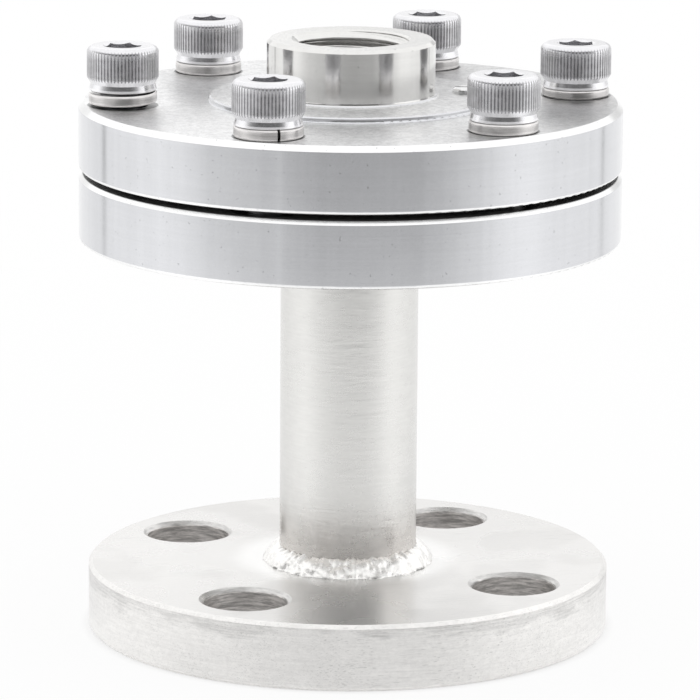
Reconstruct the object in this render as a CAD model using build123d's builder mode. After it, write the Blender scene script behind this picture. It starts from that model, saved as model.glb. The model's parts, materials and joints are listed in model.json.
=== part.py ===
"""Flanged diaphragm seal for a pressure gauge: a process flange carries a welded neck tube and a
bolted pair of round housings, with a thin metal diaphragm and its gasket clamped between them.

Millimetres, +Z up. The origin is the centre of the process flange's sealing face, which is the
lowest face of the part. The flange's bolt holes straddle the X and Y axes.
"""
import math
import os

from build123d import *

os.makedirs("parts", exist_ok=True)

# Process flange, a flat plate; its bolt holes stand in from the rim by bolt_inset
flange_diameter = 95.0
flange_thickness = 12.0
flange_edge = 0.7
bolt_inset = 12.5
bolt_hole_count = 4
bolt_hole_diameter = 15.0
bolt_hole_edge = 0.8

# Neck tube, set into the flange below and into the lower housing above; its foot stands at
# neck_foot above the sealing face
neck_diameter = 25.0
neck_bore = 16.0
neck_length = 60.0
neck_fit = 0.1
neck_foot = 3.0

# Weld beads: the outer fillet on the flange, and the two beads on the tube's ends
fillet_weld_leg = 4.0
fillet_weld_height = 3.0
fillet_weld_crown = 0.5
end_weld_width = 3.0
end_weld_height = 1.4

# Housings
housing_diameter = 98.0
lower_thickness = 12.0
upper_thickness = 12.0
outer_edge = 0.7
top_edge = 1.0
underside_round = 0.7

# Process chamber in the lower housing, and oil chamber in the upper one, with sloped walls
chamber_diameter = 48.0
chamber_depth = 2.5
chamber_slope_run = 8.0
oil_chamber_depth = 1.1
oil_chamber_slope_run = 2.0

# Clamped between the housings
gasket_thickness = 0.7
gasket_outer_diameter = 66.0
gasket_setback = 1.0
diaphragm_thickness = 0.3
wave_count = 3
wave_height = 0.35
first_wave_radius = 9.0
last_wave_setback = 1.0

# Raised step and gauge boss on the upper housing
step_diameter = 51.0
step_height = 1.0
step_edge = 0.25
step_fillet = 0.4
boss_diameter = 30.4
boss_height = 10.2
boss_edge = 0.6
boss_fillet = 0.7

# Gauge connection, a 1/2 inch parallel pipe thread, at its major diameter
gauge_thread_diameter = 20.955
gauge_thread_depth = 17.0
gauge_mouth_edge = 0.27
oil_passage_diameter = 4.0

# Fill port and its plug; the port stands in from the step's edge
fill_port_inset = 4.7
fill_port_angle = -4.4
fill_thread_diameter = 3.0
fill_thread_depth = 7.0
fill_passage_diameter = 2.0
plug_head_diameter = 4.4
plug_head_height = 0.8
plug_head_round = 0.65
plug_shank_length = 6.0
plug_slot_width = 0.6
plug_slot_depth = 0.4
plug_slot_angle = 150.0
plug_washer_diameter = 4.6
plug_washer_thickness = 0.2
plug_fit = 0.1

# Cap screws, knurled heads with hexagon sockets
screw_count = 6
screw_rim = 1.25
first_screw_angle = -3.8
screw_diameter = 8.0
screw_length = 25.0
screw_tip_edge = 0.8
screw_hole_clearance = 1.0
tapped_hole_clearance = 0.1
head_height = 8.0
knurl_diameter = 12.8
knurl_teeth = 63
groove_depth = 0.24
groove_width = 0.34
foot_height = 2.35
foot_diameter = 12.1
foot_edge = 0.2
waist_height = 1.3
waist_diameter = 11.5
shoulder_radius = 1.15
socket_sides = 6
socket_width = 6.0
socket_depth = 4.5
socket_mouth_diameter = 7.1
socket_mouth_angle = 120.0
# The way each socket was left facing when its screw was tightened
socket_turns = (17.7, 48.0, 8.2, 58.2, 1.9, 47.0)

# Spring washers, each split once; the angles are those of one end of each split, from +X.
# The fourth washer was never pressed flat.
washer_diameter = 12.2
washer_bore_clearance = 0.3
washer_round = 0.4
washer_thicknesses = (1.6, 2.0, 2.0, 2.0, 2.0, 2.0)
washer_lifts = (0.0, 0.0, 0.0, 0.8, 0.0, 0.0)
washer_split_angles = (72.5, 102.5, 122.5, 43.7, 277.0, 97.5)
washer_split_width = 0.45

# Heights of the stacked faces, from the sealing face up. The bead on the neck tube's upper end
# finishes level with the chamber's floor.
flange_top = flange_thickness
lower_base = flange_top + neck_length
lower_top = lower_base + lower_thickness
chamber_floor = lower_top - chamber_depth
neck_top = chamber_floor - end_weld_height
diaphragm_base = lower_top + gasket_thickness
upper_base = diaphragm_base + diaphragm_thickness
upper_top = upper_base + upper_thickness
step_top = upper_top + step_height
boss_top = step_top + boss_height

# Radii, and those that follow from a fit or an edge
flange_radius = flange_diameter / 2
bolt_reach = flange_radius - bolt_inset
bolt_hole_radius = bolt_hole_diameter / 2
neck_radius = neck_diameter / 2
neck_seat_radius = neck_radius + neck_fit
housing_radius = housing_diameter / 2
chamber_radius = chamber_diameter / 2
oil_floor_radius = chamber_radius - oil_chamber_slope_run
gasket_radius = gasket_outer_diameter / 2
thread_radius = gauge_thread_diameter / 2
mouth_radius = thread_radius + gauge_mouth_edge
passage_radius = oil_passage_diameter / 2
fill_port_radius = step_diameter / 2 - fill_port_inset
plug_radius = fill_thread_diameter / 2
screw_radius = screw_diameter / 2
screw_reach = housing_radius - screw_rim - knurl_diameter / 2
washer_bore_radius = screw_radius + washer_bore_clearance / 2
tolerance = 1e-4


def rings(piece, radius, height):
    """The piece's circular edges of one radius at one height."""
    return [
        edge
        for edge in piece.edges().filter_by(GeomType.CIRCLE)
        if abs(edge.radius - radius) < tolerance and abs(edge.arc_center.Z - height) < tolerance
    ]


def turned(points):
    """The closed half section of a turned piece, from its (radius, height) points."""
    with BuildSketch(Plane.XZ) as half_section:
        with BuildLine():
            Polyline(*points, close=True)
        make_face()
    return half_section.sketch


# Process flange
with BuildPart() as process_flange:
    with BuildSketch():
        Circle(flange_radius)
        Circle(neck_seat_radius, mode=Mode.SUBTRACT)
        with PolarLocations(bolt_reach, bolt_hole_count, start_angle=180 / bolt_hole_count):
            Circle(bolt_hole_radius, mode=Mode.SUBTRACT)
    extrude(amount=flange_thickness)
    for face_height in (0, flange_top):
        chamfer(rings(process_flange, flange_radius, face_height), flange_edge)
        chamfer(rings(process_flange, bolt_hole_radius, face_height), bolt_hole_edge)
process_flange.part.label = "process_flange"
export_step(process_flange.part, "parts/process_flange.step")

# Neck tube
with BuildPart() as neck_tube:
    with BuildSketch(Plane.XY.offset(neck_foot)):
        Circle(neck_radius)
        Circle(neck_bore / 2, mode=Mode.SUBTRACT)
    extrude(amount=neck_top - neck_foot)
neck_tube.part.label = "neck_tube"
export_step(neck_tube.part, "parts/neck_tube.step")

# Fillet weld around the tube on the flange, with a slightly crowned face
with BuildPart() as flange_fillet_weld:
    with BuildSketch(Plane.XZ):
        with BuildLine():
            weld_toe = (neck_radius + fillet_weld_leg, flange_top)
            weld_head = (neck_radius, flange_top + fillet_weld_height)
            Polyline(weld_head, (neck_radius, flange_top), weld_toe)
            SagittaArc(weld_toe, weld_head, -fillet_weld_crown)
        make_face()
    revolve(axis=Axis.Z)
flange_fillet_weld.part.label = "flange_fillet_weld"
export_step(flange_fillet_weld.part, "parts/flange_fillet_weld.step")

# Bead on the tube's lower end, inside the flange's bore
with BuildPart() as flange_bore_weld:
    revolve(
        turned(
            [
                (neck_seat_radius - end_weld_width, neck_foot),
                (neck_seat_radius, neck_foot),
                (neck_seat_radius, neck_foot - end_weld_height),
            ]
        ),
        axis=Axis.Z,
    )
flange_bore_weld.part.label = "flange_bore_weld"
export_step(flange_bore_weld.part, "parts/flange_bore_weld.step")

# Bead on the tube's upper end, below the chamber's floor
with BuildPart() as chamber_weld:
    revolve(
        turned(
            [
                (neck_seat_radius - end_weld_width, neck_top),
                (neck_seat_radius, neck_top),
                (neck_seat_radius, neck_top + end_weld_height),
            ]
        ),
        axis=Axis.Z,
    )
chamber_weld.part.label = "chamber_weld"
export_step(chamber_weld.part, "parts/chamber_weld.step")

# Lower housing: a thick disc with the process chamber and the tapped holes
with BuildPart() as lower_housing:
    with BuildSketch(Plane.XY.offset(lower_base)):
        Circle(housing_radius)
    extrude(amount=lower_thickness)
    fillet(rings(lower_housing, housing_radius, lower_base), underside_round)
    chamfer(rings(lower_housing, housing_radius, lower_top), outer_edge)
    revolve(
        turned(
            [
                (0, lower_base),
                (neck_seat_radius, lower_base),
                (neck_seat_radius, chamber_floor),
                (chamber_radius - chamber_slope_run, chamber_floor),
                (chamber_radius, lower_top),
                (0, lower_top),
            ]
        ),
        axis=Axis.Z,
        mode=Mode.SUBTRACT,
    )
    with BuildSketch(Plane.XY.offset(lower_base)):
        with PolarLocations(screw_reach, screw_count, start_angle=first_screw_angle):
            Circle(screw_radius + tapped_hole_clearance)
    extrude(amount=lower_thickness, mode=Mode.SUBTRACT)
lower_housing.part.label = "lower_housing"
export_step(lower_housing.part, "parts/lower_housing.step")

# Gasket between the lower housing and the diaphragm
with BuildPart() as process_gasket:
    with BuildSketch(Plane.XY.offset(lower_top)):
        Circle(gasket_radius)
        Circle(chamber_radius + gasket_setback, mode=Mode.SUBTRACT)
    extrude(amount=gasket_thickness)
process_gasket.part.label = "process_gasket"
export_step(process_gasket.part, "parts/process_gasket.step")

# Diaphragm: a thin disc with round waves between a flat centre and a flat clamped rim
half_wave_width = (oil_floor_radius - last_wave_setback - first_wave_radius) / (2 * wave_count)
with BuildPart() as diaphragm:
    with BuildSketch(Plane.XZ):
        with BuildLine():
            for face_height in (diaphragm_base, upper_base):
                wave_end = (first_wave_radius, face_height)
                Line((0, face_height), wave_end)
                for half_wave in range(2 * wave_count):
                    wave_start = wave_end
                    wave_end = (wave_start[0] + half_wave_width, face_height)
                    SagittaArc(wave_start, wave_end, wave_height * (-1) ** half_wave)
                Line(wave_end, (gasket_radius, face_height))
            for end_radius in (0, gasket_radius):
                Line((end_radius, diaphragm_base), (end_radius, upper_base))
        make_face()
    revolve(axis=Axis.Z)
diaphragm.part.label = "diaphragm"
export_step(diaphragm.part, "parts/diaphragm.step")

# Upper housing: disc, step and boss in one piece, with the gauge thread and the fill port
fill_port = Plane(
    origin=(
        fill_port_radius * math.cos(math.radians(fill_port_angle)),
        fill_port_radius * math.sin(math.radians(fill_port_angle)),
        step_top,
    )
)
with BuildPart() as upper_housing:
    with BuildSketch(Plane.XY.offset(upper_base)):
        Circle(housing_radius)
    extrude(amount=upper_thickness)
    with BuildSketch(Plane.XY.offset(upper_top)):
        Circle(step_diameter / 2)
    extrude(amount=step_height)
    with BuildSketch(Plane.XY.offset(step_top)):
        Circle(boss_diameter / 2)
    extrude(amount=boss_height)
    fillet(rings(upper_housing, housing_radius, upper_base), underside_round)
    chamfer(rings(upper_housing, housing_radius, upper_top), top_edge)
    chamfer(rings(upper_housing, step_diameter / 2, step_top), step_edge)
    fillet(rings(upper_housing, step_diameter / 2, upper_top), step_fillet)
    chamfer(rings(upper_housing, boss_diameter / 2, boss_top), boss_edge)
    fillet(rings(upper_housing, boss_diameter / 2, step_top), boss_fillet)
    thread_floor = boss_top - gauge_thread_depth
    oil_floor = upper_base + oil_chamber_depth
    revolve(
        turned(
            [
                (0, boss_top),
                (mouth_radius, boss_top),
                (thread_radius, boss_top - gauge_mouth_edge),
                (thread_radius, thread_floor),
                (passage_radius, thread_floor),
                (passage_radius, oil_floor),
                (oil_floor_radius, oil_floor),
                (chamber_radius, upper_base),
                (0, upper_base),
            ]
        ),
        axis=Axis.Z,
        mode=Mode.SUBTRACT,
    )
    with BuildSketch(Plane.XY.offset(upper_base)):
        with PolarLocations(screw_reach, screw_count, start_angle=first_screw_angle):
            Circle(screw_radius + screw_hole_clearance / 2)
    extrude(amount=upper_thickness, mode=Mode.SUBTRACT)
    with BuildSketch(fill_port):
        Circle(plug_radius + plug_fit)
    extrude(amount=-fill_thread_depth, mode=Mode.SUBTRACT)
    with BuildSketch(fill_port):
        Circle(fill_passage_diameter / 2)
    extrude(amount=upper_base - step_top, mode=Mode.SUBTRACT)
upper_housing.part.label = "upper_housing"
export_step(upper_housing.part, "parts/upper_housing.step")

# Sealing ring under the fill plug's head
with BuildPart() as fill_plug_washer:
    with BuildSketch(fill_port):
        Circle(plug_washer_diameter / 2)
        Circle(plug_radius + plug_fit, mode=Mode.SUBTRACT)
    extrude(amount=plug_washer_thickness)
fill_plug_washer.part.label = "fill_plug_washer"
export_step(fill_plug_washer.part, "parts/fill_plug_washer.step")

# Fill plug: a short threaded plug with a thin domed head, slotted across
plug_seat = fill_port.offset(plug_washer_thickness)
plug_crown = plug_seat.offset(plug_head_height).rotated((0, 0, plug_slot_angle))
with BuildPart() as fill_plug:
    with BuildSketch(plug_seat):
        Circle(plug_head_diameter / 2)
    extrude(amount=plug_head_height)
    fillet(rings(fill_plug, plug_head_diameter / 2, plug_crown.origin.Z), plug_head_round)
    with BuildSketch(plug_seat):
        Circle(plug_radius)
    extrude(amount=-plug_shank_length)
    with BuildSketch(plug_crown):
        Rectangle(plug_head_diameter, plug_slot_width)
    extrude(amount=-plug_slot_depth, mode=Mode.SUBTRACT)
fill_plug.part.label = "fill_plug"
export_step(fill_plug.part, "parts/fill_plug.step")


def screw_plane(angle, height):
    """The plane across one screw's axis at one height, with its X axis along +X."""
    turn = math.radians(angle)
    return Plane(origin=(screw_reach * math.cos(turn), screw_reach * math.sin(turn), height))


# One groove of the knurl: a notch at the origin, with the barrel's axis towards -X
with BuildSketch() as groove:
    with BuildLine():
        Polyline(
            (-groove_depth, 0),
            (groove_depth, -groove_width),
            (groove_depth, groove_width),
            close=True,
        )
    make_face()

# One cap screw standing on the XY plane, before its socket is cut: a head with a flared foot, a
# waist, a knurled barrel and a rounded shoulder, and a plain shank
with BuildPart() as screw_blank:
    with BuildSketch(Plane.XZ):
        with BuildLine():
            barrel_radius = knurl_diameter / 2
            shoulder_foot = (barrel_radius, head_height - shoulder_radius)
            shoulder_top = (barrel_radius - shoulder_radius, head_height)
            Polyline(
                shoulder_top,
                (0, head_height),
                (0, 0),
                (foot_diameter / 2 - foot_edge, 0),
                (foot_diameter / 2, foot_edge),
                (waist_diameter / 2, waist_height),
                (barrel_radius, foot_height),
                shoulder_foot,
            )
            RadiusArc(shoulder_foot, shoulder_top, -shoulder_radius)
        make_face()
    revolve(axis=Axis.Z)
    with BuildSketch(Plane.XY.offset(waist_height)):
        with PolarLocations(barrel_radius, knurl_teeth):
            add(groove.sketch)
    extrude(amount=head_height - waist_height, mode=Mode.SUBTRACT)
    with BuildSketch():
        Circle(screw_radius)
    extrude(amount=-screw_length)
    chamfer(rings(screw_blank, screw_radius, -screw_length), screw_tip_edge)


def make_screw(seat, socket_turn):
    """One cap screw, standing on its seat, with its socket turned as it was left."""
    crown = seat.offset(head_height).rotated((0, 0, socket_turn))
    mouth_slope = socket_mouth_angle / 2
    mouth_depth = (socket_mouth_diameter - socket_width) / 2 / math.tan(math.radians(mouth_slope))
    with BuildPart(seat) as screw:
        add(screw_blank.part)
        with BuildSketch(crown):
            RegularPolygon(socket_width / 2, socket_sides, major_radius=False)
        extrude(amount=-socket_depth, mode=Mode.SUBTRACT)
        with BuildSketch(crown):
            Circle(socket_mouth_diameter / 2)
        extrude(amount=-mouth_depth, taper=mouth_slope, mode=Mode.SUBTRACT)
    return screw


def make_washer(place, thickness, lift):
    """One split spring washer, lying on a plane: a flat ring, or one turn of a helix that rises."""
    inner, outer = washer_bore_radius, washer_diameter / 2
    middle = (inner + outer) / 2
    turn = 360 - math.degrees(washer_split_width / middle)
    with BuildPart() as ring:
        with BuildSketch(Plane.XZ) as section:
            with Locations((middle, thickness / 2)):
                Rectangle(outer - inner, thickness)
            fillet(section.vertices(), washer_round)
        if lift:
            with BuildLine() as coil:
                Helix(lift, lift * turn / 360, middle)
            sweep(path=coil.line, is_frenet=True)
        else:
            revolve(axis=Axis.Z, revolution_arc=turn)
    with BuildPart(place) as washer:
        add(ring.part)
    return washer


for number in range(screw_count):
    screw_angle = first_screw_angle + 360 / screw_count * number
    thickness = washer_thicknesses[number]
    lift = washer_lifts[number]
    seat = screw_plane(screw_angle, upper_top)
    washer = make_washer(seat.rotated((0, 0, washer_split_angles[number])), thickness, lift)
    washer.part.label = f"spring_washer_{number + 1}"
    export_step(washer.part, f"parts/spring_washer_{number + 1}.step")
    screw = make_screw(seat.offset(thickness + lift), socket_turns[number])
    screw.part.label = f"cap_screw_{number + 1}"
    export_step(screw.part, f"parts/cap_screw_{number + 1}.step")
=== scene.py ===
"""Looks of the flanged diaphragm seal: steel finishes for every part, the weld bead, the gauge thread,
and a white studio. Metres, in the same frame as the solids: +Z up, origin on the sealing face."""

import json
import math

import bmesh
import bpy
from mathutils import Matrix, Vector, noise


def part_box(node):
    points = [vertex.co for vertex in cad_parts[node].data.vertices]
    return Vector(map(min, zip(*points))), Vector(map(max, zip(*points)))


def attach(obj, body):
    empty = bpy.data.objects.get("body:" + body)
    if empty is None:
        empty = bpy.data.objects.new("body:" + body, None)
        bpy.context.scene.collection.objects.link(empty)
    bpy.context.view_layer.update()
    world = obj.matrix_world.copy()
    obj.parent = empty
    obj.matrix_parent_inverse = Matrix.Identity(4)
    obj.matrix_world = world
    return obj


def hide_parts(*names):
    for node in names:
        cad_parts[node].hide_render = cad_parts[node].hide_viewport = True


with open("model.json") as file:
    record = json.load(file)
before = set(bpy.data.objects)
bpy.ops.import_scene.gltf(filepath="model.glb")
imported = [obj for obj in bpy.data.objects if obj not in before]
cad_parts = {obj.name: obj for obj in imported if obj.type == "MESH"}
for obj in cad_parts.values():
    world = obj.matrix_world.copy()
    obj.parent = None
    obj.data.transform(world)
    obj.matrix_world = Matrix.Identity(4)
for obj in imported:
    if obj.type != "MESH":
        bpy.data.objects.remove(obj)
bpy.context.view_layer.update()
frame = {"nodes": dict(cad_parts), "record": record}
nodes_by_name = frame["nodes"]
mounts = {mount["name"]: mount for mount in frame["record"]["mounts"]}

MM = 0.001

# The camera stands this far round from straight in front, seen from above
camera_turn = math.radians(-13.77)

# Main places, taken from the solids
flange_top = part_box("process_flange")[1].z
flange_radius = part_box("process_flange")[1].x
neck_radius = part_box("neck_tube")[1].x
lower_base, lower_top = (corner.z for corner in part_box("lower_housing"))
housing_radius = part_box("upper_housing")[1].x
boss_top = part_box("upper_housing")[1].z
upper_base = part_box("upper_housing")[0].z
upper_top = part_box("spring_washer_1")[0].z
screw_names = [name for name in nodes_by_name if name.startswith("cap_screw")]
washer_names = [name for name in nodes_by_name if name.startswith("spring_washer")]
screw_centres = [sum(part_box(name), Vector()) / 2 for name in screw_names]
head_radius = (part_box(screw_names[0])[1].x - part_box(screw_names[0])[0].x) / 2
washer_radius = (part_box(washer_names[0])[1].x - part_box(washer_names[0])[0].x) / 2
thread_major = mounts["gauge_port"]["dims"]["r_mm"] * MM
thread_length = mounts["gauge_port"]["dims"]["length_mm"] * MM

# Limits on each screw: just outside its socket's mouth, just above its plain foot, and just inside
# the foot's rim
socket_limit = 3.6 * MM
foot_limit = 2.4 * MM
foot_rim_limit = 6.0 * MM

# Flange bolt holes, on a circle and straddling the axes; the angle is in degrees from +X
hole_count = 4
first_hole_angle = 45
hole_radius = mounts["process_bolts"]["dims"]["hole_r_mm"] * MM
hole_reach = mounts["process_bolts"]["dims"]["pcd_mm"] * MM / 2
hole_turns = [math.radians(first_hole_angle + 360 * index / hole_count) for index in range(hole_count)]
hole_centres = [
    Vector((hole_reach * math.cos(turn), hole_reach * math.sin(turn), 0)) for turn in hole_turns
]


class Nodes:
    """A node tree, with short calls for the nodes used below; a value is a number or a socket."""

    def __init__(self, tree):
        self.tree = tree
        self.shader = tree.nodes.get("Principled BSDF")

    def put(self, value, socket):
        if isinstance(value, bpy.types.NodeSocket):
            self.tree.links.new(value, socket)
        elif isinstance(value, tuple) and len(value) == 3 and len(socket.default_value) == 4:
            socket.default_value = (*value, 1)
        else:
            socket.default_value = value

    def math(self, operation, *values, clamp=False):
        node = self.tree.nodes.new("ShaderNodeMath")
        node.operation = operation
        node.use_clamp = clamp
        for socket, value in zip(node.inputs, values):
            self.put(value, socket)
        return node.outputs[0]

    def add(self, *values):
        total = values[0]
        for value in values[1:]:
            total = self.math("ADD", total, value)
        return total

    def multiply(self, *values):
        total = values[0]
        for value in values[1:]:
            total = self.math("MULTIPLY", total, value)
        return total

    def split(self, vector):
        node = self.tree.nodes.new("ShaderNodeSeparateXYZ")
        self.put(vector, node.inputs[0])
        return node.outputs

    def join(self, x, y, z):
        node = self.tree.nodes.new("ShaderNodeCombineXYZ")
        for socket, value in zip(node.inputs, (x, y, z)):
            self.put(value, socket)
        return node.outputs[0]

    def place(self, scale=(1, 1, 1), turn=(0, 0, 0)):
        """The point on the part, in metres, turned and then stretched by a factor along each axis."""
        coordinates = self.tree.nodes.new("ShaderNodeTexCoord")
        turned = self.tree.nodes.new("ShaderNodeMapping")
        turned.inputs["Rotation"].default_value = turn
        turned.inputs["Scale"].default_value = scale
        self.put(coordinates.outputs["Object"], turned.inputs["Vector"])
        return turned.outputs[0]

    def level(self):
        """1 where the surface lies flat, 0 where it stands upright."""
        coordinates = self.tree.nodes.new("ShaderNodeTexCoord")
        return self.math("ABSOLUTE", self.split(coordinates.outputs["Normal"])[2])

    def height(self):
        return self.split(self.place())[2]

    def distance_to(self, centre):
        """Distance from a vertical axis."""
        flat = self.place((1, 1, 0))
        node = self.tree.nodes.new("ShaderNodeVectorMath")
        node.operation = "DISTANCE"
        self.put(flat, node.inputs[0])
        node.inputs[1].default_value = (centre[0], centre[1], 0)
        return node.outputs["Value"]

    def radius(self):
        return self.distance_to((0, 0))

    def nearest(self, centres):
        """Distance from the nearest of several vertical axes."""
        found = self.distance_to(centres[0])
        for centre in centres[1:]:
            found = self.math("MINIMUM", found, self.distance_to(centre))
        return found

    def rings(self, along, across):
        """A vector that changes fast across turned rings, on flats and walls, and slowly along them."""
        x, y, z = self.split(self.place())
        step = self.add(self.radius(), z)
        return self.join(self.multiply(x, along), self.multiply(y, along), self.multiply(step, across))

    def noise(self, vector, detail=2.0, roughness=0.5, distortion=0.0):
        node = self.tree.nodes.new("ShaderNodeTexNoise")
        node.inputs["Scale"].default_value = 1.0
        node.inputs["Detail"].default_value = detail
        node.inputs["Roughness"].default_value = roughness
        node.inputs["Distortion"].default_value = distortion
        self.put(vector, node.inputs["Vector"])
        return node.outputs["Fac"]

    def speckle(self, scale, detail=2.0, roughness=0.5):
        """Noise that is the same in every direction."""
        return self.noise(self.place((scale, scale, scale)), detail, roughness)

    def span(self, value, low, high, to_low=0.0, to_high=1.0, smooth=False):
        """Maps a value from one range to another, clamped."""
        node = self.tree.nodes.new("ShaderNodeMapRange")
        node.interpolation_type = "SMOOTHSTEP" if smooth else "LINEAR"
        limits = {"From Min": low, "From Max": high, "To Min": to_low, "To Max": to_high}
        for name, limit in limits.items():
            self.put(limit, node.inputs[name])
        self.put(value, node.inputs["Value"])
        return node.outputs["Result"]

    def below(self, value, low, high, smooth=False):
        """1 up to the low end of a range, falling to 0 at its high end."""
        return self.span(value, low, high, 1, 0, smooth)

    def mix(self, share, one, two):
        """One number where share is 0, the other where it is 1."""
        node = self.tree.nodes.new("ShaderNodeMix")
        node.data_type = "FLOAT"
        for socket, value in zip((node.inputs[0], node.inputs[2], node.inputs[3]), (share, one, two)):
            self.put(value, socket)
        return node.outputs[0]

    def where(self, share, factor):
        """A factor where share is 1, and 1 where it is 0."""
        return self.mix(share, 1.0, factor)

    def tint(self, share, one, two):
        """One colour where share is 0, the other where it is 1."""
        node = self.tree.nodes.new("ShaderNodeMix")
        node.data_type = "RGBA"
        for socket, value in zip((node.inputs[0], node.inputs[6], node.inputs[7]), (share, one, two)):
            self.put(value, socket)
        return node.outputs[2]

    def shade(self, colour, value):
        """A colour made lighter or darker."""
        node = self.tree.nodes.new("ShaderNodeHueSaturation")
        self.put(colour, node.inputs["Color"])
        self.put(value, node.inputs["Value"])
        return node.outputs[0]

    def bump(self, height, depth):
        """Adds relief to the shader: depth in metres for a height from 0 to 1."""
        node = self.tree.nodes.new("ShaderNodeBump")
        node.inputs["Strength"].default_value = 1.0
        node.inputs["Distance"].default_value = depth
        self.put(height, node.inputs["Height"])
        earlier = self.shader.inputs["Normal"].links
        if earlier:
            self.put(earlier[0].from_socket, node.inputs["Normal"])
        self.put(node.outputs[0], self.shader.inputs["Normal"])

    def turned(self, amount):
        """Turned metal: its fine rings around Z spread each reflection across them."""
        tangent = self.tree.nodes.new("ShaderNodeTangent")
        tangent.direction_type = "RADIAL"
        tangent.axis = "Z"
        self.put(tangent.outputs[0], self.shader.inputs["Tangent"])
        self.shader.inputs["Anisotropic"].default_value = amount
        self.shader.inputs["Anisotropic Rotation"].default_value = 0.25

    def scratches(self, turn, share, length=6 * MM, width=0.12 * MM):
        """0 to 1 on a few thin straight scratches in one direction; a smaller share gives fewer."""
        streaks = self.noise(self.place((1 / length, 1 / width, 1 / width), turn), detail=0)
        here = self.noise(self.place((90, 90, 90), turn), detail=1)
        line = self.span(streaks, 0.70, 0.76)
        return self.multiply(line, self.span(here, 0.62 - share, 0.68 - share))

    def paint(self, colour, roughness):
        self.put(colour, self.shader.inputs["Base Color"])
        self.put(roughness, self.shader.inputs["Roughness"])


def new_finish(name, metallic=1.0):
    """A material with its own shader; returns the material and its nodes."""
    material = bpy.data.materials.new(name)
    material.use_nodes = True
    nodes = Nodes(material.node_tree)
    nodes.shader.inputs["Metallic"].default_value = metallic
    return material, nodes


# Finishes


def housing_finish():
    """Fine-turned housings: sharp on the walls, grainier on the flats, smoother again on the boss."""
    material, n = new_finish("housing_steel_finish")
    n.turned(0.6)
    level = n.span(n.level(), 0.80, 0.97)
    # Painted highlight: the chamfers at the housings' outer edges, given a near-white colour below
    edge = n.multiply(
        n.span(n.level(), 0.1, 0.25),
        n.below(n.level(), 0.85, 0.95),
        n.span(n.radius(), housing_radius - 2 * MM, housing_radius - 1.5 * MM),
    )
    height = n.height()
    boss = n.span(height, upper_top + 1.2 * MM, upper_top + 1.5 * MM)
    fine = n.noise(n.rings(40, 7000), detail=3, roughness=0.7)
    coarse = n.noise(n.rings(14, 1500), detail=3, roughness=0.6)
    grain = n.speckle(2400, detail=4, roughness=0.75)
    flecks = n.speckle(850, detail=3, roughness=0.8)
    patches = n.speckle(420, detail=3, roughness=0.6)
    smudges = n.noise(n.place((55, 55, 80)), detail=5, roughness=0.6)
    chatter = n.noise(n.place((420, 420, 0)), detail=2, roughness=0.6)
    marks = n.math(
        "MAXIMUM",
        n.scratches((0.4, 0.3, 0.7), 0.04),
        n.scratches((1.1, 0.2, 2.1), 0.04, 4 * MM, 0.1 * MM),
    )
    plain_flat = n.multiply(level, n.where(boss, 0.0))
    dots = n.span(n.speckle(1900, detail=0), 0.80, 0.83)
    # Painted reflection: the flats grow darker from -X to +X, with a blotchy border
    across = n.add(n.split(n.place())[0], n.span(smudges, 0.35, 0.65, -12 * MM, 12 * MM))

    value = n.multiply(
        n.span(fine, 0.3, 0.7, 0.985, 1.012),
        n.span(coarse, 0.3, 0.7, 0.985, 1.015),
        n.span(chatter, 0.3, 0.7, n.mix(level, 0.975, 1.0), n.mix(level, 1.015, 1.0)),
        n.span(grain, 0.35, 0.65, n.mix(level, 0.985, 0.86), n.mix(level, 1.01, 1.10)),
        n.span(flecks, 0.38, 0.62, n.where(plain_flat, 0.88), n.where(plain_flat, 1.12)),
        n.span(smudges, 0.35, 0.65, 0.98, 1.015),
        n.where(level, n.span(across, -40 * MM, 40 * MM, 1.08, 0.78)),
        n.where(dots, 0.8),
        n.where(marks, 0.95),
    )
    specks = n.multiply(level, n.span(patches, 0.5, 0.7), n.span(grain, 0.58, 0.68))
    value = n.multiply(value, n.where(specks, 0.72))
    # Painted contact shadow: a dark ring on the flats just outside each washer
    washer_shadow_edge = n.add(n.nearest(screw_centres), n.span(grain, 0.3, 0.7, -0.15 * MM, 0.15 * MM))
    washer_shadow_start, washer_shadow_end = washer_radius + 0.15 * MM, washer_radius + 0.4 * MM
    washer_shadow = n.multiply(level, n.span(washer_shadow_edge, washer_shadow_start, washer_shadow_end, 0.95, 0))
    value = n.multiply(value, n.where(washer_shadow, 0.25))
    # Painted shade on the faces that stand in the gap between the two housings
    gap_shade = n.multiply(
        n.span(height, lower_top - 0.1 * MM, lower_top - 0.05 * MM),
        n.below(height, upper_base + 0.05 * MM, upper_base + 0.1 * MM),
    )
    value = n.multiply(value, n.where(gap_shade, 0.45))
    steel = n.tint(level, (0.70, 0.706, 0.727), (0.79, 0.79, 0.792))
    steel = n.tint(boss, steel, (0.765, 0.76, 0.745))
    # Painted highlight: near-white colour on the outer chamfers
    steel = n.tint(edge, steel, (0.92, 0.92, 0.92))
    step = n.multiply(level, n.span(height, upper_top + 0.8 * MM, upper_top + 0.9 * MM))
    value = n.multiply(value, n.where(n.multiply(step, plain_flat), 1.04))
    # Painted light: the downward flats at the foot of the lower housing are made lighter
    lit_underside = n.multiply(level, n.below(height, lower_base + 0.1 * MM, lower_base + 0.2 * MM))
    value = n.multiply(value, n.where(lit_underside, 1.18))

    rough = n.mix(level, 0.16, n.span(patches, 0.3, 0.7, 0.34, 0.40))
    rough = n.add(rough, n.multiply(step, 0.08))
    rough = n.mix(boss, rough, n.mix(level, 0.13, 0.24))
    rough = n.add(rough, n.span(smudges, 0.3, 0.7, -0.02, 0.025), n.span(grain, 0.3, 0.7, -0.015, 0.015))
    n.paint(n.shade(steel, value), rough)
    n.bump(fine, 0.002 * MM)
    n.bump(n.multiply(grain, level), 0.016 * MM)
    return material


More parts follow.
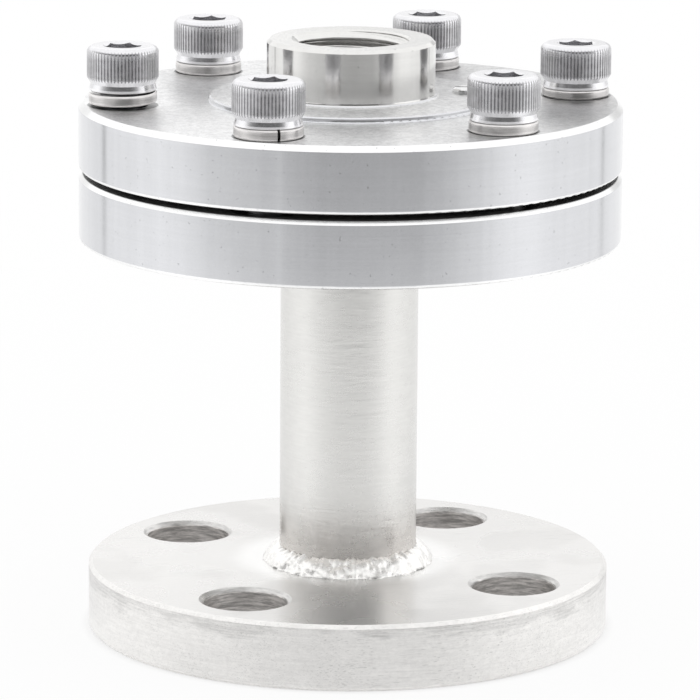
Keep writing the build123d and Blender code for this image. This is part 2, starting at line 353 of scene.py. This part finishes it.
def flange_finish():
    """Satin plate, faintly stained: a scuffed rim, tool marks in the holes, a pale zone at the weld."""
    material, n = new_finish("flange_steel_finish", metallic=0.77)
    n.turned(0.6)
    level = n.span(n.level(), 0.75, 0.95)
    radius = n.radius()
    height = n.height()
    grain = n.noise(n.place((1500, 1500, 3000)), detail=4, roughness=0.65)
    cloud = n.noise(n.place((45, 45, 60)), detail=5, roughness=0.6)
    lines = n.noise(n.rings(60, 2500), detail=3, roughness=0.7)
    to_hole = n.nearest(hole_centres)
    upright = n.below(level, 0, 0.5)
    in_hole = n.multiply(n.below(to_hole, hole_radius + 0.1 * MM, hole_radius + 0.2 * MM), upright)
    rim = n.multiply(n.span(radius, flange_radius - 1.0 * MM, flange_radius - 0.4 * MM), upright)
    tool_marks = n.noise(n.place((260, 260, 2300), (0.16, 0.1, 0)), detail=4, roughness=0.7)
    rim_lines = n.noise(n.rings(110, 2600), detail=4, roughness=0.75)
    rim_nicks = n.noise(n.place((900, 900, 1300)), detail=4, roughness=0.8)
    heat_start, heat_end = neck_radius + 8.5 * MM, neck_radius + 13.5 * MM
    heat = n.below(n.add(radius, n.multiply(cloud, 8 * MM)), heat_start, heat_end, smooth=True)
    heat = n.multiply(heat, level)
    scuffs = n.math(
        "MAXIMUM",
        n.scratches((0.2, 0.1, 0.5), 0.07, 9 * MM, 0.14 * MM),
        n.scratches((0.3, 1.2, 1.9), 0.07, 5 * MM, 0.12 * MM),
    )

    value = n.multiply(
        n.span(grain, 0.3, 0.7, 0.975, 1.02),
        n.span(cloud, 0.35, 0.65, 0.975, 1.015),
        n.where(scuffs, 0.84),
    )
    ragged = n.noise(n.rings(150, 800), detail=4, roughness=0.7)
    band_edge = n.add(
        height,
        n.span(ragged, 0.3, 0.7, -1.1 * MM, 1.1 * MM),
        n.span(cloud, 0.35, 0.65, -1.8 * MM, 1.8 * MM),
    )
    rim_band = n.multiply(
        n.span(band_edge, flange_top - 3.0 * MM, flange_top - 1.6 * MM, smooth=True),
        n.below(height, flange_top - 0.75 * MM, flange_top - 0.6 * MM),
    )
    rim_scratches = n.math(
        "MAXIMUM",
        n.scratches((0.5, 0.1, 0.6), 0.2, 5 * MM, 0.2 * MM),
        n.scratches((1.3, 0.4, 1.1), 0.2, 4 * MM, 0.16 * MM),
    )
    rim_shade = n.multiply(
        n.mix(rim_band, 1.03, n.span(rim_lines, 0.35, 0.65, 0.80, 0.99)),
        n.span(rim_lines, 0.3, 0.7, 0.93, 1.045),
        n.span(rim_nicks, 0.35, 0.65, 0.93, 1.04),
        n.where(rim_scratches, 0.8),
    )
    value = n.multiply(value, n.where(rim, rim_shade))
    value = n.multiply(value, n.where(in_hole, n.span(tool_marks, 0.38, 0.62, 0.6, 1.35)))
    slanted = n.multiply(n.span(n.level(), 0.2, 0.3), upright)
    # Painted highlight on the chamfers at the rim
    rim_edge_highlight = n.multiply(slanted, n.span(radius, flange_radius - 1.0 * MM, flange_radius - 0.8 * MM))
    value = n.multiply(value, n.where(rim_edge_highlight, 1.16))
    hole_edge = n.multiply(slanted, n.below(to_hole, hole_radius + 1.5 * MM, hole_radius + 2 * MM))
    value = n.multiply(value, n.where(hole_edge, n.span(tool_marks, 0.35, 0.65, 0.72, 1.08)))
    stain = n.span(n.speckle(60, detail=2, roughness=0.5), 0.5, 0.62, smooth=True)
    value = n.multiply(value, n.where(n.multiply(stain, level), 0.955))
    steel = n.tint(heat, (0.79, 0.78, 0.765), (0.91, 0.905, 0.895))
    # Painted shade: the bolt-hole walls get a darker colour
    steel = n.tint(in_hole, steel, (0.61, 0.59, 0.575))
    rough = n.mix(heat, n.span(cloud, 0.3, 0.7, 0.24, 0.31), 0.26)
    rough = n.add(rough, n.multiply(stain, 0.05))
    rough = n.mix(rim, rough, n.span(tool_marks, 0.3, 0.7, 0.28, 0.42))
    rough = n.mix(in_hole, rough, 0.45)
    n.paint(n.shade(steel, value), rough)
    n.bump(n.multiply(lines, level), 0.002 * MM)
    n.bump(n.multiply(rim_lines, rim), 0.012 * MM)
    n.bump(n.multiply(rim_nicks, rim), 0.015 * MM)
    n.bump(n.multiply(tool_marks, n.math("MAXIMUM", in_hole, hole_edge)), 0.05 * MM)
    n.bump(grain, 0.006 * MM)
    return material


def neck_finish():
    """Drawn tube, sanded around: fine level streaks, mottling, and a faint heat tint at its foot."""
    material, n = new_finish("neck_steel_finish")
    height = n.height()
    streaks = n.noise(n.place((180, 180, 2400)), detail=4, roughness=0.7)
    ripples = n.noise(n.place((120, 120, 620)), detail=3, roughness=0.6, distortion=0.6)
    mottle = n.noise(n.place((420, 420, 700)), detail=4, roughness=0.7)
    cloud = n.noise(n.place((70, 70, 50)), detail=4, roughness=0.6)
    from_foot = n.add(height, -flange_top)
    heat = n.below(n.add(from_foot, n.multiply(cloud, 8 * MM)), 6 * MM, 18 * MM, smooth=True)
    sooty = n.add(from_foot, n.span(mottle, 0.3, 0.7, -2 * MM, 2 * MM))
    soot = n.below(sooty, 2 * MM, 10 * MM, smooth=True)
    value = n.multiply(
        n.span(streaks, 0.3, 0.7, 0.965, 1.025),
        n.span(mottle, 0.3, 0.7, 0.965, 1.03),
        n.span(cloud, 0.3, 0.7, 0.97, 1.02),
        n.where(soot, n.span(mottle, 0.35, 0.65, 0.95, 1.02)),
    )
    n.put(n.where(heat, 0.78), n.shader.inputs["Metallic"])
    steel = n.tint(heat, (0.745, 0.74, 0.722), (0.82, 0.79, 0.76))
    rough = n.add(n.span(cloud, 0.3, 0.7, 0.24, 0.32), n.span(mottle, 0.3, 0.7, -0.02, 0.02))
    n.paint(n.shade(steel, value), rough)
    n.bump(streaks, 0.010 * MM)
    n.bump(ripples, 0.03 * MM)
    n.bump(mottle, 0.012 * MM)
    return material


def weld_finish():
    """Pale, grainy weld metal with spots of painted shade along its two toes."""
    material, n = new_finish("weld_finish", metallic=0.88)
    coarse = n.speckle(1100, detail=3, roughness=0.65)
    spots = n.speckle(330, detail=3, roughness=0.6)
    toe = n.math(
        "MAXIMUM",
        n.below(n.height(), flange_top + 0.1 * MM, flange_top + 0.45 * MM),
        n.below(n.radius(), neck_radius + 0.1 * MM, neck_radius + 0.45 * MM),
    )
    # Painted shade in spots where the bead meets the flange and the tube
    toe_shade = n.multiply(toe, n.span(spots, 0.56, 0.64))
    value = n.multiply(n.span(coarse, 0.3, 0.7, 0.96, 1.03), n.where(toe_shade, 0.35))
    n.paint(n.shade((0.99, 0.98, 0.96), value), n.span(coarse, 0.3, 0.7, 0.22, 0.38))
    n.bump(coarse, 0.05 * MM)
    return material


def screw_finish(name, seat):
    """Bright screw: turned marks on its head, painted shade in worn knurls and at its seat, painted lip
    highlight.
    """
    material, n = new_finish(name + "_finish")
    level = n.span(n.level(), 0.75, 0.95)
    upright = n.below(n.level(), 0, 0.3)
    height = n.height()
    from_axis = n.nearest(screw_centres)
    grain = n.speckle(1800, detail=3, roughness=0.6)
    cloud = n.speckle(160, detail=4, roughness=0.6)
    face_rings = n.noise(n.join(0.0, 0.0, n.multiply(from_axis, 5200)), detail=2, roughness=0.6)
    groove = n.below(from_axis, head_radius - 0.24 * MM, head_radius - 0.04 * MM)
    head_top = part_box(name)[1].z
    knurl = n.multiply(
        upright,
        n.span(from_axis, head_radius - 0.4 * MM, head_radius - 0.35 * MM),
        n.below(height, head_top - 2.2 * MM, head_top - 1.2 * MM),
    )
    # Painted shade along the foot of the head, just above its seat
    seat_shade = n.below(height, seat + 0.06 * MM, seat + 0.14 * MM)
    socket = n.multiply(upright, n.below(from_axis, socket_limit, socket_limit + 0.2 * MM))
    barrel = n.multiply(upright, n.span(height, seat + foot_limit, seat + foot_limit + 0.3 * MM))
    # Painted highlight: a pale, less metallic band on the lip just above the seat
    lip_highlight = n.multiply(
        n.span(height, seat + 0.14 * MM, seat + 0.22 * MM),
        n.below(height, seat + 0.5 * MM, seat + 0.62 * MM),
    )
    wear_and_shade = n.noise(n.place((520, 520, 900)), detail=3, roughness=0.7)
    n.put(n.where(lip_highlight, 0.45), n.shader.inputs["Metallic"])
    value = n.multiply(
        n.span(grain, 0.3, 0.7, 0.97, 1.02),
        n.span(cloud, 0.3, 0.7, 0.95, 1.03),
        # Painted shade in the knurl's grooves and across its band, varied by wear
        n.where(n.multiply(groove, knurl), n.span(wear_and_shade, 0.35, 0.65, 0.72, 0.90)),
        n.where(seat_shade, 0.3),
        n.where(socket, 1.2),
        n.where(n.multiply(barrel, knurl), n.span(wear_and_shade, 0.35, 0.65, 0.70, 0.84)),
        n.where(lip_highlight, 1.2),
    )
    rough = n.add(n.span(cloud, 0.3, 0.7, 0.16, 0.26), n.span(grain, 0.3, 0.7, -0.02, 0.02))
    rough = n.add(rough, n.multiply(barrel, knurl, 0.12))
    n.paint(n.shade((0.80, 0.797, 0.815), value), rough)
    n.bump(n.multiply(face_rings, level), 0.006 * MM)
    n.bump(grain, 0.003 * MM)
    return material


def washer_finish(name, base, seat):
    """A spring washer of drawn wire: lines along it, painted highlights at its edges, painted shade
    mid-side and under the screw.
    """
    material, n = new_finish(name + "_finish")
    level = n.span(n.level(), 0.9, 0.98)
    from_axis = n.nearest(screw_centres)
    step = n.add(from_axis, n.height())
    x, y, _ = n.split(n.place((150, 150, 150)))
    lines = n.noise(n.join(x, y, n.multiply(step, 4200)), detail=3, roughness=0.7)
    cloud = n.speckle(400, detail=4, roughness=0.6)
    # Painted shade on the washer's top, under the screw's foot
    covered_shade = n.multiply(
        level,
        n.span(n.height(), seat - 0.2 * MM, seat - 0.1 * MM),
        n.below(from_axis, foot_rim_limit - 0.1 * MM, foot_rim_limit),
    )
    from_middle = n.math("ABSOLUTE", n.add(n.height(), -(base + seat) / 2))
    # Painted highlights: pale, less metallic bands along the washer's top and bottom edges
    edge_highlight = n.multiply(
        n.span(from_middle, 0.55 * MM, 0.75 * MM, smooth=True),
        n.below(from_middle, 0.98 * MM, 1.04 * MM),
        n.span(from_axis, washer_radius - 0.5 * MM, washer_radius - 0.3 * MM),
    )
    n.put(n.where(edge_highlight, 0.15), n.shader.inputs["Metallic"])
    value = n.multiply(
        n.span(lines, 0.3, 0.7, 0.84, 1.06),
        n.span(cloud, 0.3, 0.7, 0.92, 1.05),
        # Painted shade around the washer's middle height
        n.span(from_middle, 0.2 * MM, 0.6 * MM, 0.82, 1.0, smooth=True),
        n.where(edge_highlight, 1.25),
        n.where(covered_shade, 0.3),
    )
    n.paint(n.shade((0.79, 0.77, 0.76), value), n.span(cloud, 0.3, 0.7, 0.18, 0.28))
    n.bump(lines, 0.012 * MM)
    return material


def satin_finish(name, colour, roughness, grain_depth, scale=900):
    """Satin steel with a short grain and soft blotches."""
    material, n = new_finish(name)
    grain = n.noise(n.place((scale, scale, 3 * scale)), detail=4, roughness=0.65)
    blotches = n.speckle(160, detail=5, roughness=0.6)
    value = n.multiply(n.span(blotches, 0.3, 0.7, 0.94, 1.04), n.span(grain, 0.3, 0.7, 0.96, 1.02))
    n.paint(n.shade(colour, value), n.span(blotches, 0.3, 0.7, roughness - 0.05, roughness + 0.05))
    n.bump(grain, grain_depth)
    return material


def sheet_finish():
    """White gasket sheet, matte and faintly fibrous."""
    material, n = new_finish("gasket_finish", metallic=0.0)
    fibres = n.speckle(900, detail=4)
    value = n.span(fibres, 0.3, 0.7, 0.97, 1.02)
    n.paint(n.shade((0.86, 0.86, 0.84), value), n.span(fibres, 0.3, 0.7, 0.45, 0.55))
    n.bump(fibres, 0.01 * MM)
    return material


def dress(names, material):
    """Gives solids their finish."""
    for name in names:
        for slot in nodes_by_name[name].material_slots:
            slot.material = material


housing_steel = housing_finish()
bead_steel = weld_finish()
plug_steel = satin_finish("plug_steel_finish", (0.80, 0.80, 0.80), 0.24, 0.003 * MM)

dress(["upper_housing", "lower_housing"], housing_steel)
dress(["process_flange"], flange_finish())
dress(["neck_tube"], neck_finish())
for screw, washer in zip(screw_names, washer_names):
    base, seat = (corner.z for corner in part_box(washer))
    dress([screw], screw_finish(screw, seat))
    dress([washer], washer_finish(washer, base, seat))
dress(["fill_plug", "fill_plug_washer"], plug_steel)
dress(["diaphragm"], satin_finish("diaphragm_finish", (0.70, 0.69, 0.67), 0.2, 0.002 * MM, 300))
dress(["process_gasket"], sheet_finish())
dress(["flange_fillet_weld", "flange_bore_weld", "chamber_weld"], bead_steel)


# Pieces


def add_piece(name, bm, material):
    """Makes a piece of a bmesh, smooth, riding on the one body."""
    bmesh.ops.recalc_face_normals(bm, faces=bm.faces)
    for face in bm.faces:
        face.smooth = True
    mesh = bpy.data.meshes.new(name)
    bm.to_mesh(mesh)
    bm.free()
    mesh.materials.append(material)
    piece = bpy.data.objects.new(name, mesh)
    bpy.context.scene.collection.objects.link(piece)
    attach(piece, "root")
    return piece


def closed_ring(columns, rows, point):
    """A closed tube of quads around Z: point(turn, row) gives each vertex, and the rows close too."""
    bm = bmesh.new()
    grid = []
    for column in range(columns):
        turn = 2 * math.pi * column / columns
        grid.append([bm.verts.new(point(turn, row)) for row in range(rows)])
    for column in range(columns):
        here, there = grid[column], grid[(column + 1) % columns]
        for row in range(rows):
            after = (row + 1) % rows
            bm.faces.new((here[row], there[row], there[after], here[after]))
    return bm


# Weld bead; its leg is shorter at its two sides, as the camera sees it. It is tucked into the tube
# and sunk into the flange, and each noise has a shift that gives it a pattern of its own.
bead_leg = 4.0 * MM
bead_side_leg = 3.0 * MM
bead_height = 2.9 * MM
bead_columns = 760
bead_face_rows = 34
bead_back_rows = 3
bead_inner_tuck = 0.2 * MM
bead_outer_tuck = 0.3 * MM
bead_sink = 0.15 * MM
bead_crown = 0.25
wobble_shift = Vector((9, 4, 2))
toe_shift = Vector((3, 8, 5))
lump_shift = Vector((7, 3, 5))
large_lump = 4.2 * MM
small_lump = 1.9 * MM
lump_spread = 1.25
large_lump_rise = 0.62
small_lump_rise = 0.26
lump_sink = 0.34
grit_size = 0.9 * MM


def lump(at, size):
    """1 at the middle of a lump, falling to 0 towards its neighbours."""
    nearest = noise.voronoi(at / size)[0][0]
    return 1 - min(1.0, nearest * lump_spread) ** 2


def bead_point(turn, row):
    """A point of the bead's section: from the tube down the crowned face, and back under it."""
    around = Vector((math.cos(turn), math.sin(turn), 0))
    swell = noise.noise(around * 6.5)
    wobble = noise.noise(around * 17 + wobble_shift)
    toe_wobble = noise.noise(around * 13 + toe_shift)
    to_side = (around.x * math.cos(camera_turn) + around.y * math.sin(camera_turn)) ** 2
    leg = bead_leg + (bead_side_leg - bead_leg) * to_side
    leg *= 1 + 0.09 * swell + 0.05 * wobble
    height = bead_height * (1 + 0.07 * wobble - 0.07 * swell)
    if row >= bead_face_rows:
        inner, outer = neck_radius - bead_inner_tuck, neck_radius + leg - bead_outer_tuck
        step = (row - bead_face_rows + 1) / bead_back_rows
        return around * (outer + (inner - outer) * step) + Vector((0, 0, flange_top - bead_sink))
    share = row / (bead_face_rows - 1)
    leg *= 1 + 0.12 * toe_wobble * share ** 3
    height *= 1 + 0.16 * toe_wobble * (1 - share) ** 3
    at = around * (neck_radius + leg * share) + Vector((0, 0, flange_top + height * (1 - share)))
    outward = (around * height + Vector((0, 0, leg))).normalized()
    crown = math.sin(math.pi * share)
    grit = noise.fractal(at / grit_size, 0.8, 2.0, 2)
    lumps = large_lump_rise * lump(at, large_lump)
    lumps += small_lump_rise * lump(at + lump_shift, small_lump)
    lumps -= lump_sink
    rise = bead_crown * crown
    rise += lumps * crown ** 0.55
    rise += 0.04 * grit * crown ** 0.4
    return at + outward * rise * MM


bead = closed_ring(bead_columns, bead_face_rows + bead_back_rows, bead_point)
weld_bead = add_piece("weld_bead", bead, bead_steel)
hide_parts("flange_fillet_weld")

# Gauge thread, standing in from the wall of its hole. Each crest and root is flat for thread_flat
# of half a pitch on either side of its middle, and the flanks between them are eased.
thread_pitch = 1.814 * MM
thread_depth = 1.162 * MM
thread_root_gap = 0.02 * MM
thread_backing = 0.05 * MM
thread_rows_per_pitch = 18
thread_columns = 160
thread_flat = 0.12
thread_hole_depth = 17.0 * MM
thread_low = boss_top - thread_hole_depth
thread_rows = round(thread_length / thread_pitch * thread_rows_per_pitch)


def thread_point(turn, row):
    """A point of the thread's section: up its rounded crests and roots, and back down behind them."""
    if row > thread_rows:
        radius = thread_major + thread_backing
        height = thread_low + thread_length * (thread_rows + 2 - row)
    else:
        height = thread_length * row / thread_rows
        phase = (height / thread_pitch - turn / (2 * math.pi)) % 1.0
        flank = min(1.0, max(0.0, (abs(phase * 2 - 1) - thread_flat) / (1 - 2 * thread_flat)))
        rounded = flank * flank * (3 - 2 * flank)
        depth = thread_depth * (1 - 0.5 * (flank + rounded))
        below_mouth = max(0.0, thread_length - height)
        radius = thread_major - thread_root_gap - min(depth, below_mouth)
        height += thread_low
    return Vector((radius * math.cos(turn), radius * math.sin(turn), height))


thread = closed_ring(thread_columns, thread_rows + 3, thread_point)
add_piece("gauge_thread", thread, housing_steel)


# Studio: a pale floor and a white surround that is darker on the camera's side. Brightness is
# stored as a share of peak.
floor_size = 0.55
floor_sides = 128
floor_tuck = 1 * MM
floor_fade_start = 0.25
floor_fade_end = 0.5
peak = 1.5
white = (1 / peak, 1 / peak, 1 / peak)


def floor_finish():
    """Pale and matte, glowing to the camera and in the steel, faded at its far edge, clear from below."""
    material = bpy.data.materials.new("floor_finish")
    material.use_nodes = True
    n = Nodes(material.node_tree)
    n.tree.nodes.remove(n.shader)
    paths = n.tree.nodes.new("ShaderNodeLightPath")
    glow = n.tree.nodes.new("ShaderNodeEmission")
    matte = n.tree.nodes.new("ShaderNodeBsdfDiffuse")
    matte.inputs["Color"].default_value = (0.97, 0.97, 0.97, 1)
    clear = n.tree.nodes.new("ShaderNodeBsdfTransparent")
    radius = n.radius()
    seen = n.math(
        "ADD", n.multiply(paths.outputs["Is Camera Ray"], 0.88), paths.outputs["Is Glossy Ray"], clamp=True
    )
    seen = n.multiply(seen, n.span(radius, flange_radius - 2 * MM, flange_radius + 1.5 * MM))
    # Painted shade and light in the floor's glow as the steel sees it: dimmer near the part and in front
    # of it, brighter to the sides
    ahead = n.place((1, 1, 0), (0, 0, -camera_turn))
    front = n.math("DIVIDE", n.multiply(n.split(ahead)[1], -1), n.math("MAXIMUM", radius, 1 * MM))
    floor_glow_shade = n.multiply(
        n.span(front, -0.6, 0.2, n.span(radius, 0.09, 0.15, 0.94, 1.03), 1.19),
        n.span(front, 0.35, 1.0, 1.0, 0.86, smooth=True),
    )
    n.put(n.where(paths.outputs["Is Glossy Ray"], floor_glow_shade), glow.inputs["Strength"])
    lit = n.tree.nodes.new("ShaderNodeMixShader")
    n.put(seen, lit.inputs[0])
    n.put(matte.outputs[0], lit.inputs[1])
    n.put(glow.outputs[0], lit.inputs[2])
    faded = n.tree.nodes.new("ShaderNodeMixShader")
    sides = n.tree.nodes.new("ShaderNodeNewGeometry")
    far = n.span(radius, floor_fade_start, floor_fade_end, smooth=True)
    fade = n.math("MAXIMUM", far, sides.outputs["Backfacing"])
    n.put(fade, faded.inputs[0])
    n.put(lit.outputs[0], faded.inputs[1])
    n.put(clear.outputs[0], faded.inputs[2])
    n.put(faded.outputs[0], n.tree.nodes["Material Output"].inputs["Surface"])
    return material


def build_floor():
    """A flat ring around the part, which starts just inside the flange's rim."""
    bm = bmesh.new()
    turns = [2 * math.pi * index / floor_sides for index in range(floor_sides)]
    inner, outer = (
        [bm.verts.new((radius * math.cos(turn), radius * math.sin(turn), 0)) for turn in turns]
        for radius in (flange_radius - floor_tuck, floor_size)
    )
    for index in range(floor_sides):
        after = (index + 1) % floor_sides
        bm.faces.new((inner[index], outer[index], outer[after], inner[after]))
    mesh = bpy.data.meshes.new("floor")
    bm.to_mesh(mesh)
    bm.free()
    floor = bpy.data.objects.new("floor", mesh)
    bpy.context.scene.collection.objects.link(floor)
    mesh.materials.append(floor_finish())


def ramp(n, value, stops):
    """A grey ramp around the horizon; each stop is (degrees from the camera's side, brightness)."""
    node = n.tree.nodes.new("ShaderNodeValToRGB")
    elements = node.color_ramp.elements
    while len(elements) < len(stops):
        elements.new(0.5)
    for element, (degrees, grey) in zip(elements, stops):
        element.position = 0.5 + degrees / 360
        element.color = (grey / peak, grey / peak, grey / peak, 1)
    n.put(value, node.inputs[0])
    return node.outputs[0]


def build_world():
    """The surround: a ramp for each of three heights, and an even dome over them."""
    world = bpy.data.worlds.new("studio")
    bpy.context.scene.world = world
    world.use_nodes = True
    n = Nodes(world.node_tree)
    background = n.tree.nodes["Background"]
    coordinates = n.tree.nodes.new("ShaderNodeTexCoord")
    turned = n.tree.nodes.new("ShaderNodeVectorRotate")
    turned.rotation_type = "Z_AXIS"
    turned.inputs["Angle"].default_value = -camera_turn
    n.put(coordinates.outputs["Generated"], turned.inputs["Vector"])
    x, y, z = n.split(turned.outputs[0])
    azimuth = n.math("ARCTAN2", x, n.multiply(y, -1))
    share = n.add(n.math("DIVIDE", azimuth, 2 * math.pi), 0.5)
    low = ramp(n, share, [
        (-180, 1.03), (-128.7, 1.0), (-127.2, 0.0), (-125.9, 1.03), (-88, 1.12), (-74, 1.04),
        (-60, 0.78), (-31, 0.64), (-29.8, 0.95), (-28.6, 0.62), (-14, 0.51), (0, 0.465),
        (28, 0.50), (44, 0.66), (58, 0.88), (72, 1.11), (82, 1.14), (95, 1.07),
        (132.7, 1.02), (133.5, 0.2), (134.3, 1.02), (180, 1.03),
    ])
    high = ramp(n, share, [
        (-180, 1.03), (-172, 1.08), (-161, 0.93), (-140, 0.95), (-120, 1.2), (-90, 1.4), (-60, 1.1),
        (-41, 0.85), (-38, 0.36), (-23, 0.3), (-20, 0.04), (7, 0.04), (10, 0.07), (40, 0.07),
        (43, 0.04), (59, 0.04),
        (62, 1.5), (90, 1.5), (120, 1.25), (142, 0.8), (166, 0.7), (174, 0.82), (178, 0.97), (180, 1.03),
    ])
    above = ramp(n, share, [
        (-180, 1.25), (-140, 1.15), (-122, 1.1), (-106, 0.85), (-92, 0.5), (-75, 0.25), (-40, 0.12),
        (38, 0.14), (50, 0.35), (66, 0.9), (85, 1.1), (140, 1.15), (180, 1.25),
    ])
    around = n.tint(n.span(z, -0.10, 0.18, smooth=True), low, high)
    around = n.tint(n.span(z, 0.225, 0.275, smooth=True), around, above)
    dome = n.tint(n.span(z, 0.44, 0.70, smooth=True), around, (0.78, 0.78, 0.78))
    paths = n.tree.nodes.new("ShaderNodeLightPath")
    n.put(n.tint(paths.outputs["Is Glossy Ray"], white, dome), background.inputs["Color"])
    background.inputs["Strength"].default_value = peak


def build_camera():
    """A long lens, a little above the part, at the photograph's angle; pitch and roll in radians."""
    distance = 889.37 * MM
    height = 244.65 * MM
    pitch = 0.21448
    roll = 0.00705
    turn = Matrix.Rotation(camera_turn, 3, "Z")
    forward = turn @ Vector((0, math.cos(pitch), -math.sin(pitch)))
    level = turn @ Vector((1, 0, 0))
    raised = level.cross(forward)
    right = level * math.cos(roll) + raised * math.sin(roll)
    up = raised * math.cos(roll) - level * math.sin(roll)
    camera_data = bpy.data.cameras.new("camera")
    camera_data.sensor_width = 36
    camera_data.lens = 257.2
    camera_data.shift_x = 0.0013
    camera_data.clip_start = 0.01
    camera = bpy.data.objects.new("camera", camera_data)
    bpy.context.scene.collection.objects.link(camera)
    rotation = Matrix((right, up, -forward)).transposed()
    camera.matrix_world = Matrix.Translation(turn @ Vector((0, -distance, height))) @ rotation.to_4x4()
    bpy.context.scene.camera = camera


build_floor()
build_world()
build_camera()
bpy.context.scene.view_settings.view_transform = "Standard"
